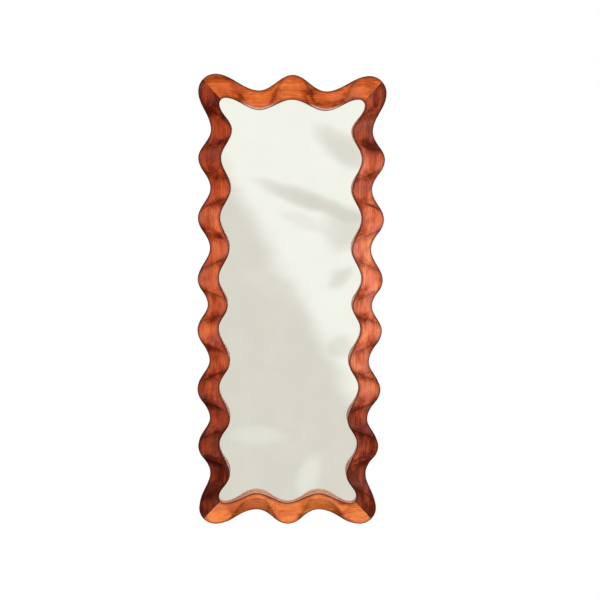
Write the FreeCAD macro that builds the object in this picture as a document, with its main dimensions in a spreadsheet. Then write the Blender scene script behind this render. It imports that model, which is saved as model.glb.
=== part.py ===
import FreeCAD, Part
import math
import os
import Sketcher
from FreeCAD import Placement, Rotation, Vector

# Full-length wall mirror in a carved, wavy wooden frame.
#
# Frame of reference: millimetres, +Z up, +X to the right as seen from the front, the glass
# looks along -Y. The origin lies in the wall plane (y = 0, where the bumpers touch the wall),
# in the middle of the width and of the height.

doc = FreeCAD.newDocument("irregular_mirror")


class Table:
    """One sheet of named numbers: name in column A, number in column B, remark in column C."""

    def __init__(self, name):
        self.name = name
        self.sheet = doc.addObject("Spreadsheet::Sheet", name)
        self.row = 1
        self.value = {}

    def put(self, alias, number, remark=""):
        text = "%.7g" % number
        self.sheet.set("A%d" % self.row, alias)
        self.sheet.set("B%d" % self.row, text)
        if remark:
            self.sheet.set("C%d" % self.row, remark)
        self.sheet.setAlias("B%d" % self.row, alias)
        self.value[alias] = float(text)
        self.row += 1

    def __getitem__(self, alias):
        return self.value[alias]


# ---------------------------------------------------------------- driving dimensions

D = Table("Dims")
for alias, number, remark in (
    ("half_width", 361.0, "half of the width over the corner bulges"),
    ("half_height", 900.0, "half of the overall height"),
    ("stand_off", 7.0, "bumper height: gap between the wood's back and the wall"),
    ("ridge_height", 46.0, "wood thickness under the carved ridge"),
    ("scoop_depth", 22.0, "drop from the ridge to the bottom of a scoop"),
    ("ridge_inset", 3.0, "the ridge stays this far inside the outer edge"),
    ("ridge_from", 0.28, "share of a half wave where the ridge leaves the outer edge"),
    ("ridge_to", 0.75, "share of a half wave where the ridge has crossed the band"),
    ("corner_radius", 66.0, "rounding of the frame's outer corners"),
    ("mouth_radius", 23.0, "rounding of the opening's corners"),
    ("mouth_x", 281.5, "opening's half width at its corners"),
    ("mouth_top", 811.0, "opening's upper corner height"),
    ("mouth_bottom", 818.0, "opening's lower corner depth below the middle"),
    ("stile_reach", 78.0, "width of a full scoop on the stiles"),
    ("top_reach", 90.0, "width of a full scoop on the top rail"),
    ("bottom_reach", 89.0, "width of a full scoop on the bottom rail"),
    ("stile_share", 0.90, "how far across the band the ridge swings on the stiles"),
    ("top_share", 0.86, "the same on the top rail"),
    ("bottom_share", 0.77, "the same on the bottom rail"),
    ("mitre_out_x", 342.9, "outer end of every mitre"),
    ("mitre_out_z", 879.4, "outer end of every mitre"),
    ("rebate_x", 293.0, "half width of the rebate in the frame's back"),
    ("rebate_z", 830.5, "half height of the rebate"),
    ("tape_thick", 1.0, "cushion tape on the rebate's shelf"),
    ("glass_thick", 4.0, "silvered glass"),
    ("film_thick", 0.2, "safety film behind the silvering"),
    ("board_thick", 5.0, "backing board, flush with the frame's back"),
    ("tape_width", 6.0, "width of the cushion tape"),
    ("tape_inset", 0.5, "tape's outer edge inside the glass edge"),
    ("glass_gap", 1.5, "gap between glass and rebate at the sides and the top"),
    ("block_height", 3.0, "setting blocks under the glass"),
    ("block_length", 50.0, "length of a setting block"),
    ("block_x", 145.0, "setting block from the middle"),
    ("board_gap", 0.5, "gap between board and rebate"),
    ("dowel_r", 4.0, "mitre dowels"),
    ("dowel_length", 44.0, "mitre dowels"),
    ("dowel_hole", 22.5, "depth of a dowel hole in each member"),
    ("dowel_depth", 16.0, "dowel axis in front of the wood's back"),
    ("dowel_first", 37.0, "dowel from the inner end of the mitre"),
    ("dowel_second", 66.0, "dowel from the inner end of the mitre"),
    ("brace_x", 331.0, "outer corner of the corner brace"),
    ("brace_z", 871.0, "outer corner of the corner brace"),
    ("brace_arm", 60.0, "length of a brace arm"),
    ("brace_width", 15.0, "width of a brace arm"),
    ("brace_thick", 2.0, "steel of the corner brace"),
    ("brace_hole_a", 30.0, "first hole from the brace's outer corner"),
    ("brace_hole_b", 52.0, "second hole from the brace's outer corner"),
    ("brace_screw_length", 12.0, "countersunk screw"),
    ("brace_screw_r", 1.75, "countersunk screw"),
    ("brace_head_r", 3.4, "countersunk screw"),
    ("clip_long", 26.0, "retaining clip"),
    ("clip_wide", 12.0, "retaining clip"),
    ("clip_thick", 1.2, "retaining clip"),
    ("clip_lap", 8.5, "clip's lap over the backing board"),
    ("clip_hole", 10.5, "clip's screw outside the rebate edge"),
    ("clip_screw_length", 14.0, "pan-head screw"),
    ("clip_screw_r", 1.5, "pan-head screw"),
    ("clip_head_r", 3.0, "pan-head screw"),
    ("clip_head_high", 1.9, "pan-head screw"),
    ("clip_rail_x", 215.0, "outer clips on the rails from the middle"),
    ("clip_a", 640.0, "clips on the stiles, height from the middle"),
    ("clip_b", 350.0, ""),
    ("clip_c", 108.0, ""),
    ("clip_d", -94.0, ""),
    ("clip_e", -337.0, ""),
    ("clip_f", -575.0, ""),
    ("clip_g", -738.0, ""),
    ("hanger_x", 323.0, "hanger's middle line"),
    ("hanger_z", 592.0, "axis of the ring in its strap"),
    ("strap_width", 17.0, "hanger strap"),
    ("strap_drop", 46.0, "hanger strap below the ring's axis"),
    ("strap_thick", 2.4, "hanger strap, folded double"),
    ("loop_r", 2.9, "outside of the strap's loop"),
    ("loop_bore_r", 1.6, "inside of the strap's loop"),
    ("strap_hole_a", 11.0, "first screw below the ring's axis"),
    ("strap_hole_b", 32.0, "second screw below the ring's axis"),
    ("ring_r", 1.5, "ring wire"),
    ("ring_half", 13.0, "half width of the ring, on the wire's centre line"),
    ("ring_bend", 4.0, "bend beside the ring's bar"),
    ("ring_side", 7.0, "height of the ring's straight sides"),
    ("ring_lean", 3.0, "degrees the standing ring leans to the wood"),
    ("hanger_screw_length", 20.0, "hanger screw"),
    ("hanger_screw_r", 2.0, "hanger screw"),
    ("hanger_head_r", 3.5, "hanger screw"),
    ("hanger_head_high", 2.1, "hanger screw"),
    ("bumper_x", 314.0, "wall bumper from the middle"),
    ("bumper_z", 775.0, "wall bumper from the middle"),
    ("bumper_r", 10.0, "wall bumper"),
    ("bumper_sink_r", 4.75, "wall bumper's screw recess"),
    ("bumper_sink", 3.5, "depth of the screw recess"),
    ("bumper_hole_r", 1.7, "wall bumper's screw hole"),
    ("bumper_screw_length", 14.0, "bumper screw"),
    ("bumper_screw_r", 1.5, "bumper screw"),
    ("bumper_head_r", 3.0, "bumper screw"),
    ("bumper_head_high", 1.9, "bumper screw"),
):
    D.put(alias, number, remark)

# The inner end of a mitre lies in the middle of the opening's rounded corner.
spring = D["mouth_radius"] * (1 - math.sqrt(0.5))
D.put("mitre_in_x", D["mouth_x"] - spring, "inner end of every mitre")
D.put("mitre_top_z", D["mouth_top"] - spring, "inner end of the upper mitres")
D.put("mitre_bottom_z", D["mouth_bottom"] - spring, "inner end of the lower mitres")
D.put("rebate_deep", D["tape_thick"] + D["glass_thick"] + D["film_thick"] + D["board_thick"],
      "rebate depth: tape, glass, film and board")
for word in ("stile", "top", "bottom"):
    reach, deep = D[word + "_reach"], D["scoop_depth"]
    D.put(word + "_scoop_r", (reach ** 2 + deep ** 2) / (2 * deep), "cutter radius of the scoops")

# Wave tables: (along the member, outer edge, inner edge), bulge and waist in turn, starting and
# ending with the corner bulges. The waves are carved by eye, so no two are quite alike.
W, H = D["half_width"], D["half_height"]
corner_z = H - D["corner_radius"]
corner_x = W - D["corner_radius"]
WAVES = {
    "stile": (
        (corner_z, W, D["mouth_x"]),
        (689.5, 313.8, 232.8), (581.0, 361.3, 274.5), (465.5, 316.1, 236.1), (349.0, 363.4, 277.8),
        (231.0, 317.7, 240.3), (109.0, 364.8, 282.8), (4.0, 326.5, 246.7), (-93.5, 366.4, 282.8),
        (-223.0, 319.8, 237.8), (-334.5, 366.8, 280.5), (-460.0, 318.5, 236.9),
        (-570.5, 364.2, 279.4), (-690.0, 317.2, 236.4), (-corner_z, W, D["mouth_x"]),
    ),
    "top": (
        (corner_x, H, D["mouth_top"]), (129.0, 840.5, 766.5), (0.0, H, 807.0),
        (-129.0, 840.5, 766.5), (-corner_x, H, D["mouth_top"]),
    ),
    "bottom": (
        (corner_x, H, D["mouth_bottom"]), (126.5, 845.0, 771.0), (0.0, H, 817.0),
        (-126.5, 845.0, 771.0), (-corner_x, H, D["mouth_bottom"]),
    ),
}


def swing(share):
    """The ridge's way across the band over one half wave, 0 at the bulge and 1 at the waist."""
    step = (share - D["ridge_from"]) / (D["ridge_to"] - D["ridge_from"])
    step = min(max(step, 0.0), 1.0)
    return step * step * (3 - 2 * step)


def band(member, along):
    """Outer edge, ridge and inner edge of a member at one place along it."""
    inset = D["ridge_inset"]
    if member == "stile":
        corner = corner_z
        mouth = D["mouth_top"] if along > 0 else D["mouth_bottom"]
        mouth_end, mouth_side, bend_side = mouth, D["mouth_x"], W
        mitre = D["mitre_top_z"] if along > 0 else D["mitre_bottom_z"]
    else:
        corner = corner_x
        mouth_end, mouth_side, bend_side = D["mouth_x"], D["mouth_" + member], H
        mitre = D["mitre_in_x"]
    waves = WAVES[member]
    centre_outer = bend_side - D["corner_radius"]
    if abs(along) > corner:
        past = abs(along) - corner
        outer = centre_outer + math.sqrt(D["corner_radius"] ** 2 - past ** 2)
        ridge = centre_outer + math.sqrt(max((D["corner_radius"] - inset) ** 2 - past ** 2, 0.0))
        inner = mouth_side
    else:
        for first, second in zip(waves[:-1], waves[1:]):
            if first[0] >= along >= second[0]:
                break
        bulge, waist = (first, second) if first[1] > second[1] else (second, first)
        share = abs(along - bulge[0]) / abs(waist[0] - bulge[0])
        ease = (1 - math.cos(math.pi * share)) / 2
        outer = bulge[1] + (waist[1] - bulge[1]) * ease
        # the inner edge of a corner wave starts where the opening's rounding ends
        turn = mouth_end - D["mouth_radius"]
        if abs(bulge[0]) >= corner:
            share = max(abs(turn - abs(along)) / abs(turn - abs(waist[0])), 0.0)
            share = 0.0 if abs(along) > turn else share
            ease = (1 - math.cos(math.pi * min(share, 1.0))) / 2
        inner = bulge[2] + (waist[2] - bulge[2]) * ease
        share = abs(along - bulge[0]) / abs(waist[0] - bulge[0])
        start = outer - inset
        ridge = start - D[member + "_share"] * swing(share) * (start - inner)
    turn = mouth_end - D["mouth_radius"]
    if abs(along) > turn:
        # the opening's rounded corner, as far as the mitre
        past = min(abs(along), mitre) - turn
        inner = mouth_side - D["mouth_radius"] + math.sqrt(D["mouth_radius"] ** 2 - past ** 2)
    return outer, ridge, inner


def places(end, corner, step=17.0, fine=8.5):
    """Section places along a member, closer together over its rounded ends."""
    flat = int(round(2 * (corner - 45.0) / step))
    middle = [corner - 45.0 - 2 * (corner - 45.0) * i / flat for i in range(flat + 1)]
    tail = int(round((end - corner + 45.0) / fine))
    upper = [end - (end - corner + 45.0) * i / tail for i in range(tail)]
    return upper + middle + [-v for v in reversed(upper)]


S = Table("Stations")
SECTIONS = {}
for member, end, corner in (
    ("stile", corner_z + 50.0, corner_z),
    ("top", corner_x + 52.0, corner_x),
    ("bottom", corner_x + 52.0, corner_x),
):
    rows = []
    for i, along in enumerate(places(end, corner)):
        outer, ridge, inner = band(member, along)
        key = "%s_%%s_%03d" % (member, i)
        S.put(key % "along", along)
        S.put(key % "outer", outer)
        S.put(key % "ridge", ridge)
        S.put(key % "inner", inner)
        rows.append(key)
    SECTIONS[member] = rows
doc.recompute()


# ---------------------------------------------------------------- sketch helpers

def plane(body, role):
    return [f for f in body.Origin.OriginFeatures if f.Role == role][0]


def new_sketch(body, name, role, lift=None, value=0.0):
    """A sketch on one of the body's own origin planes, lifted along its normal."""
    sketch = body.newObject("Sketcher::SketchObject", name)
    sketch.AttachmentSupport = (plane(body, role), "")
    sketch.MapMode = "FlatFace"
    sketch.AttachmentOffset = Placement(Vector(0, 0, value), Rotation())
    if lift:
        sketch.setExpression("AttachmentOffset.Base.z", lift)
    return sketch


def number(text):
    """The value of an expression over the driving dimensions."""
    total, sign = 0.0, 1.0
    for word in text.replace("-", " - ").replace("+", " + ").split():
        if word == "-":
            sign = -1.0
        elif word == "+":
            sign = 1.0
        else:
            product = 1.0
            for factor in word.split("*"):
                product *= D[factor[5:]] if factor.startswith("Dims.") else float(factor)
            total += sign * product
            sign = 1.0
    return total


def fix(sketch, kind, geo, point, text, name):
    """Pin one coordinate of a sketch point to an expression."""
    index = sketch.addConstraint(Sketcher.Constraint(kind, -1, 1, geo, point, number(text)))
    sketch.renameConstraint(index, name)
    sketch.setExpression("Constraints." + name, text)


def polygon(sketch, corners, tag="p"):
    """A closed outline whose corners are pairs of expressions."""
    base = sketch.GeometryCount
    points = [Vector(number(a), number(b), 0) for a, b in corners]
    count = len(points)
    sketch.addGeometry(
        [Part.LineSegment(points[i], points[(i + 1) % count]) for i in range(count)], False)
    sketch.addConstraint([
        Sketcher.Constraint("Coincident", base + i, 2, base + (i + 1) % count, 1)
        for i in range(count)])
    for i, (a, b) in enumerate(corners):
        fix(sketch, "DistanceX", base + i, 1, a, "%s%dx" % (tag, i))
        fix(sketch, "DistanceY", base + i, 1, b, "%s%dy" % (tag, i))


def rectangle(sketch, left, right, low, high, tag="r"):
    polygon(sketch, ((left, low), (right, low), (right, high), (left, high)), tag)


def circle(sketch, a, b, radius, tag):
    index = sketch.addGeometry(
        Part.Circle(Vector(number(a), number(b), 0), Vector(0, 0, 1), number(radius)), False)
    fix(sketch, "DistanceX", index, 3, a, tag + "x")
    fix(sketch, "DistanceY", index, 3, b, tag + "y")
    n = sketch.addConstraint(Sketcher.Constraint("Radius", index, number(radius)))
    sketch.renameConstraint(n, tag + "r")
    sketch.setExpression("Constraints." + tag + "r", radius)


def pad(body, name, sketch, length, reverse=False):
    feature = body.newObject("PartDesign::Pad", name)
    feature.Profile = sketch
    feature.Length = number(length)
    feature.setExpression("Length", length)
    feature.Reversed = reverse
    return feature


def pocket(body, name, sketch, length, reverse=False):
    """A pocket that must take material away: its volume is compared."""
    doc.recompute()
    before = body.Shape.Volume
    feature = body.newObject("PartDesign::Pocket", name)
    feature.Profile = sketch
    feature.Length = number(length)
    feature.setExpression("Length", length)
    feature.Reversed = reverse
    feature.Refine = False
    doc.recompute()
    after = body.Shape.Volume
    if not after < before - 0.5:
        raise RuntimeError("%s takes nothing off %s" % (name, body.Label))
    print("%-14s %-18s takes off %10.1f mm3" % (body.Label, name, before - after))
    return feature


def drill(body, name, sketch, diameter, depth):
    """Blind holes from the back, one for each circle of the sketch, volume compared."""
    doc.recompute()
    before = body.Shape.Volume
    feature = body.newObject("PartDesign::Hole", name)
    feature.Profile = sketch
    feature.Refine = False
    doc.recompute()
    feature.Reversed = True
    feature.Threaded = False
    feature.DepthType = "Dimension"
    feature.DrillPoint = "Flat"
    feature.Diameter = number(diameter)
    feature.Depth = number(depth)
    feature.setExpression("Diameter", diameter)
    feature.setExpression("Depth", depth)
    doc.recompute()
    taken = before - body.Shape.Volume
    each = math.pi * (number(diameter) / 2) ** 2 * number(depth)
    print("%-14s %-18s takes off %10.1f mm3, %.2f holes" % (body.Label, name, taken, taken / each))
    if taken < 0.9 * each * sketch.GeometryCount:
        raise RuntimeError("%s does not drill all its holes" % name)
    return feature


# ---------------------------------------------------------------- carved members

def section(member, i, key, turn, axis):
    """One cross-section: flat back, two straight walls, and two scoops that meet on the ridge.

    Sketch x is the distance from the mirror's middle, sketch y is the world's y."""
    sketch = doc.addObject("Sketcher::SketchObject", "%s_section_%03d" % (member, i))
    outer, ridge, inner = S[key % "outer"], S[key % "ridge"], S[key % "inner"]
    back = -D["stand_off"]
    front = back - D["ridge_height"]
    reach, radius = D[member + "_reach"], D[member + "_scoop_r"]
    cy = front + D["scoop_depth"] - radius

    def on_arc(cx, x):
        return Vector(x, cy + math.sqrt(radius ** 2 - (x - cx) ** 2), 0)

    def scoop(cx, x_high, x_low):
        ends = [on_arc(cx, x_high), on_arc(cx, x_low)]
        angles = [math.atan2(p.y - cy, p.x - cx) for p in ends]
        return ends, Part.ArcOfCircle(
            Part.Circle(Vector(cx, cy, 0), Vector(0, 0, 1), radius), *angles)

    (p_out, _), arc_out = scoop(ridge + reach, outer, ridge)
    (_, p_in), arc_in = scoop(ridge - reach, ridge, inner)
    sketch.addGeometry([
        Part.LineSegment(Vector(inner, back, 0), Vector(outer, back, 0)),
        Part.LineSegment(Vector(outer, back, 0), p_out),
        arc_out, arc_in,
        Part.LineSegment(p_in, Vector(inner, back, 0))], False)
    sketch.addConstraint(
        [Sketcher.Constraint("Coincident", g, 2, (g + 1) % 5, 1) for g in range(5)]
        + [Sketcher.Constraint("Horizontal", 0), Sketcher.Constraint("Vertical", 1),
           Sketcher.Constraint("Vertical", 4)])
    for name, constraint, text in (
        ("back", ("DistanceY", -1, 1, 0, 1, back), "-Dims.stand_off"),
        ("inner", ("DistanceX", -1, 1, 0, 1, inner), "Stations." + key % "inner"),
        ("outer", ("DistanceX", -1, 1, 0, 2, outer), "Stations." + key % "outer"),
        ("ridge", ("DistanceX", -1, 1, 2, 2, ridge), "Stations." + key % "ridge"),
        ("front", ("DistanceY", -1, 1, 2, 2, front), "-Dims.stand_off - Dims.ridge_height"),
        ("scoop_out", ("Radius", 2, radius), "Dims.%s_scoop_r" % member),
        ("scoop_in", ("Radius", 3, radius), "Dims.%s_scoop_r" % member),
        ("reach_out", ("DistanceX", 2, 2, 2, 3, reach), "Dims.%s_reach" % member),
        ("reach_in", ("DistanceX", 3, 3, 2, 2, reach), "Dims.%s_reach" % member),
    ):
        n = sketch.addConstraint(Sketcher.Constraint(*constraint))
        sketch.renameConstraint(n, name)
        sketch.setExpression("Constraints." + name, text)
    sketch.Placement = Placement(axis * S[key % "along"], turn)
    letter = "x" if axis.x else "z"
    sketch.setExpression("Placement.Base." + letter, "Stations." + key % "along")
    return sketch


def blank(member, turn, axis):
    """The carved length of wood before its ends are mitred, lofted through its sections."""
    sketches = [section(member, i, key, turn, axis) for i, key in enumerate(SECTIONS[member])]
    doc.recompute()
    loose = [s.Name for s in sketches if not s.FullyConstrained]
    if loose:
        raise RuntimeError("not fully constrained: %s" % loose[:5])
    loft = doc.addObject("Part::Loft", member + "_blank")
    loft.Sections = sketches
    loft.Solid = True
    loft.Ruled = True
    doc.recompute()
    box = loft.Shape.BoundBox
    print("%-14s %d sections, %.1f cm3, valid %s, y %.2f .. %.2f"
          % (loft.Label, len(sketches), loft.Shape.Volume / 1000, loft.Shape.isValid(),
             box.YMin, box.YMax))
    return loft


upright = Rotation()                                                   # x out, y deep, z along
top_turn = Rotation(Vector(0, 0, 1), Vector(0, 1, 0), Vector(-1, 0, 0), "XYZ")
bottom_turn = Rotation(Vector(0, 0, -1), Vector(0, 1, 0), Vector(1, 0, 0), "XYZ")


def member_body(name, loft):
    body = doc.addObject("PartDesign::Body", name)
    body.Label = name
    body.BaseFeature = loft
    doc.recompute()
    return body


def mitre(body, name, side, sign_x, sign_z, keep):
    """Cut one mitred end. keep says which side of the mitre line stays."""
    inz = "Dims.mitre_%s_z" % side
    dx = ("Dims.mitre_out_x", "Dims.mitre_in_x")

    def point(t_in, t_out):
        # a point on the mitre line, t_in and t_out adding up to one
        a = "%s%g*%s %s%g*%s" % ("-" if t_in * sign_x < 0 else "", abs(t_in), dx[1],
                                 "-" if t_out * sign_x < 0 else "+", abs(t_out), dx[0])
        b = "%s%g*%s %s%g*Dims.mitre_out_z" % ("-" if t_in * sign_z < 0 else "", abs(t_in), inz,
                                               "-" if t_out * sign_z < 0 else "+", abs(t_out))
        return a, b

    low, high = point(3, -2), point(-1, 2)
    third = (low[0], high[1]) if keep == "stile" else (high[0], low[1])
    sketch = new_sketch(body, name + "_line", "XZ_Plane", None, -20.0)
    polygon(sketch, (low, high, third))
    pocket(body, name, sketch, "100", True)


def dowel_seat(side, place):
    """Middle of a dowel, in the mitre plane, and the mitre's direction, upper right quarter."""
    inner = Vector(D["mitre_in_x"], 0, D["mitre_%s_z" % side])
    outer = Vector(D["mitre_out_x"], 0, D["mitre_out_z"])
    along = (outer - inner).normalize()
    middle = inner + along * D[place]
    middle.y = -D["stand_off"] - D["dowel_depth"]
    return middle, along


def dowel_holes(body, side, flip_x, flip_z, into_stile):
    """Two blind holes square to the mitre face."""
    for number_of, place in enumerate(("dowel_first", "dowel_second")):
        middle, along = dowel_seat(side, place)
        out = Vector(along.z, 0, -along.x) if into_stile else Vector(-along.z, 0, along.x)
        middle = Vector(middle.x * flip_x, middle.y, middle.z * flip_z)
        out = Vector(out.x * flip_x, 0, out.z * flip_z)
        doc.recompute()
        before = body.Shape.Volume
        hole = body.newObject("PartDesign::SubtractiveCylinder",
                              "dowel_%s_%s_%d" % (side, "r" if flip_x > 0 else "l", number_of))
        hole.AttachmentSupport = (plane(body, "XY_Plane"), "")
        hole.MapMode = "FlatFace"
        hole.AttachmentOffset = Placement(middle - out * 5, Rotation(Vector(0, 0, 1), out))
        hole.Refine = False
        hole.Radius = D["dowel_r"]
        hole.Height = D["dowel_hole"] + 5
        hole.setExpression("Radius", "Dims.dowel_r")
        hole.setExpression("Height", "Dims.dowel_hole + 5")
        doc.recompute()
        taken = before - body.Shape.Volume
        if taken < 0.95 * math.pi * D["dowel_r"] ** 2 * D["dowel_hole"]:
            raise RuntimeError("%s takes too little: %.1f" % (hole.Name, taken))


BACK = "Dims.stand_off"          # the wood's back plane, as a lift of the XZ plane

# right stile
stile = member_body("right_stile", blank("stile", upright, Vector(0, 0, 1)))
mitre(stile, "mitre_top", "top", 1, 1, "stile")
mitre(stile, "mitre_bottom", "bottom", 1, -1, "stile")
sketch = new_sketch(stile, "rebate_outline", "XZ_Plane", BACK, D["stand_off"])
rectangle(sketch, "Dims.rebate_x - 90", "Dims.rebate_x", "-Dims.rebate_z", "Dims.rebate_z")
pocket(stile, "rebate", sketch, "Dims.rebate_deep", True)
dowel_holes(stile, "top", 1, 1, True)
dowel_holes(stile, "bottom", 1, -1, True)

sketch = new_sketch(stile, "brace_pilots", "XZ_Plane", BACK, D["stand_off"])
for tag, sign in (("u", ""), ("l", "-")):
    for hole in ("a", "b"):
        depth = ("Dims.brace_z - Dims.brace_hole_%s" % hole if not sign
                 else "-Dims.brace_z + Dims.brace_hole_%s" % hole)
        circle(sketch, "Dims.brace_x - 0.5*Dims.brace_width", depth, "Dims.brace_screw_r", tag + hole)
drill(stile, "brace_screw_pilots", sketch, "2*Dims.brace_screw_r",
      "Dims.brace_screw_length - Dims.brace_thick")

sketch = new_sketch(stile, "clip_pilots", "XZ_Plane", BACK, D["stand_off"])
for letter in "abcdefg":
    circle(sketch, "Dims.rebate_x + Dims.clip_hole", "Dims.clip_" + letter, "Dims.clip_screw_r", "c" + letter)
drill(stile, "clip_screw_pilots", sketch, "2*Dims.clip_screw_r",
      "Dims.clip_screw_length - Dims.clip_thick")

sketch = new_sketch(stile, "hanger_pilots", "XZ_Plane", BACK, D["stand_off"])
for hole in ("a", "b"):
    circle(sketch, "Dims.hanger_x", "Dims.hanger_z - Dims.strap_hole_" + hole, "Dims.hanger_screw_r", "s" + hole)
drill(stile, "hanger_screw_pilots", sketch, "2*Dims.hanger_screw_r",
      "Dims.hanger_screw_length - Dims.strap_thick")

sketch = new_sketch(stile, "bumper_pilots", "XZ_Plane", BACK, D["stand_off"])
circle(sketch, "Dims.bumper_x", "Dims.bumper_z", "Dims.bumper_screw_r", "bu")
circle(sketch, "Dims.bumper_x", "-Dims.bumper_z", "Dims.bumper_screw_r", "bl")
drill(stile, "bumper_screw_pilots", sketch, "2*Dims.bumper_screw_r",
      "Dims.bumper_screw_length - Dims.stand_off + Dims.bumper_sink")

left = doc.addObject("Part::Mirroring", "left_stile")
left.Label = "left_stile"
left.Source = stile
left.Normal = Vector(1, 0, 0)
doc.recompute()


# rails
def rail(name, member, turn, sign):
    body = member_body(name, blank(member, turn, Vector(1, 0, 0)))
    side = member
    mitre(body, "mitre_right", side, 1, sign, "rail")
    mitre(body, "mitre_left", side, -1, sign, "rail")
    sketch = new_sketch(body, "rebate_outline", "XZ_Plane", BACK, D["stand_off"])
    if sign > 0:
        rectangle(sketch, "-Dims.rebate_x", "Dims.rebate_x", "Dims.rebate_z - 120", "Dims.rebate_z")
    else:
        rectangle(sketch, "-Dims.rebate_x", "Dims.rebate_x", "-Dims.rebate_z", "-Dims.rebate_z + 120")
    pocket(body, "rebate", sketch, "Dims.rebate_deep", True)
    dowel_holes(body, side, 1, sign, False)
    dowel_holes(body, side, -1, sign, False)
    minus = "" if sign > 0 else "-"
    sketch = new_sketch(body, "brace_pilots", "XZ_Plane", BACK, D["stand_off"])
    line = ("Dims.brace_z - 0.5*Dims.brace_width" if sign > 0
            else "-Dims.brace_z + 0.5*Dims.brace_width")
    for hole in ("a", "b"):
        circle(sketch, "Dims.brace_x - Dims.brace_hole_" + hole, line, "Dims.brace_screw_r", "r" + hole)
        circle(sketch, "-Dims.brace_x + Dims.brace_hole_" + hole, line, "Dims.brace_screw_r", "l" + hole)
    drill(body, "brace_screw_pilots", sketch, "2*Dims.brace_screw_r",
          "Dims.brace_screw_length - Dims.brace_thick")
    sketch = new_sketch(body, "clip_pilots", "XZ_Plane", BACK, D["stand_off"])
    line = ("Dims.rebate_z + Dims.clip_hole" if sign > 0 else "-Dims.rebate_z - Dims.clip_hole")
    for tag, place in (("cr", "Dims.clip_rail_x"), ("cm", "0"), ("cl", "-Dims.clip_rail_x")):
        circle(sketch, place, line, "Dims.clip_screw_r", tag)
    drill(body, "clip_screw_pilots", sketch, "2*Dims.clip_screw_r",
          "Dims.clip_screw_length - Dims.clip_thick")
    return body


rail("top_rail", "top", top_turn, 1)
rail("bottom_rail", "bottom", bottom_turn, -1)


# ---------------------------------------------------------------- glass and what packs it

def sheet_body(name, left, right, low, high, lift, value, thick):
    """A flat rectangular sheet parallel to the wall; lift is its rear face as a lift of XZ."""
    body = doc.addObject("PartDesign::Body", name)
    body.Label = name
    sketch = new_sketch(body, name + "_outline", "XZ_Plane", lift, value)
    rectangle(sketch, left, right, low, high)
    feature = pad(body, name + "_sheet", sketch, thick)
    doc.recompute()
    return body, feature


lift = D["stand_off"]
sheet_body("backing_board", "-Dims.rebate_x + Dims.board_gap", "Dims.rebate_x - Dims.board_gap",
           "-Dims.rebate_z + Dims.board_gap", "Dims.rebate_z - Dims.board_gap",
           BACK, lift, "Dims.board_thick")
lift += D["board_thick"]
GLASS = ("-Dims.rebate_x + Dims.glass_gap", "Dims.rebate_x - Dims.glass_gap",
         "-Dims.rebate_z + Dims.block_height", "Dims.rebate_z - Dims.glass_gap")
sheet_body("safety_film", GLASS[0] + " + 1", GLASS[1] + " - 1", GLASS[2] + " + 1", GLASS[3] + " - 1",
           "Dims.stand_off + Dims.board_thick", lift, "Dims.film_thick")
lift += D["film_thick"]
pane, pane_sheet = sheet_body(
    "mirror_pane", *GLASS, "Dims.stand_off + Dims.board_thick + Dims.film_thick", lift, "Dims.glass_thick")
lift += D["glass_thick"]
# ground arris on the pane's four front edges
front = -lift
edges = ["Edge%d" % (i + 1) for i, e in enumerate(pane_sheet.Shape.Edges)
         if all(abs(v.Y - front) < 1e-6 for v in e.Vertexes)]
arris = pane.newObject("PartDesign::Chamfer", "arris")
arris.Base = (pane_sheet, edges)
arris.Size = 0.8
doc.recompute()

TAPE = "Dims.stand_off + Dims.board_thick + Dims.film_thick + Dims.glass_thick"
side_out = "Dims.rebate_x - Dims.glass_gap - Dims.tape_inset"
side_in = side_out + " - Dims.tape_width"
top_out = "Dims.rebate_z - Dims.glass_gap - Dims.tape_inset"
top_in = top_out + " - Dims.tape_width"
low_out = "-Dims.rebate_z + Dims.block_height + Dims.tape_inset"
low_in = low_out + " + Dims.tape_width"


def minus(text):
    swapped = text.replace("-", "#").replace("+", "-").replace("#", "+")
    return swapped[1:] if swapped.startswith("+") else "-" + swapped


sheet_body("tape_right", side_in, side_out, low_in, top_in, TAPE, lift, "Dims.tape_thick")
sheet_body("tape_left", minus(side_out), minus(side_in), low_in, top_in, TAPE, lift, "Dims.tape_thick")
sheet_body("tape_top", minus(side_out), side_out, top_in, top_out, TAPE, lift, "Dims.tape_thick")
sheet_body("tape_bottom", minus(side_out), side_out, low_out, low_in, TAPE, lift, "Dims.tape_thick")

# two setting blocks carry the glass's lower edge
blocks = []
for name, sign in (("block_left", "-"), ("block_right", "")):
    box = doc.addObject("Part::Box", name)
    for prop, text in (("Length", "Dims.block_length"), ("Width", "Dims.glass_thick"),
                       ("Height", "Dims.block_height")):
        box.setExpression(prop, text)
    box.setExpression("Placement.Base.x", "%sDims.block_x - Dims.block_length / 2" % sign)
    box.setExpression("Placement.Base.y", "-Dims.stand_off - Dims.rebate_deep + Dims.tape_thick")
    box.setExpression("Placement.Base.z", "-Dims.rebate_z")
    blocks.append(box)
group = doc.addObject("Part::Compound", "setting_blocks")
group.Label = "setting_blocks"
group.Links = blocks
doc.recompute()


# ---------------------------------------------------------------- fasteners

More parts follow.
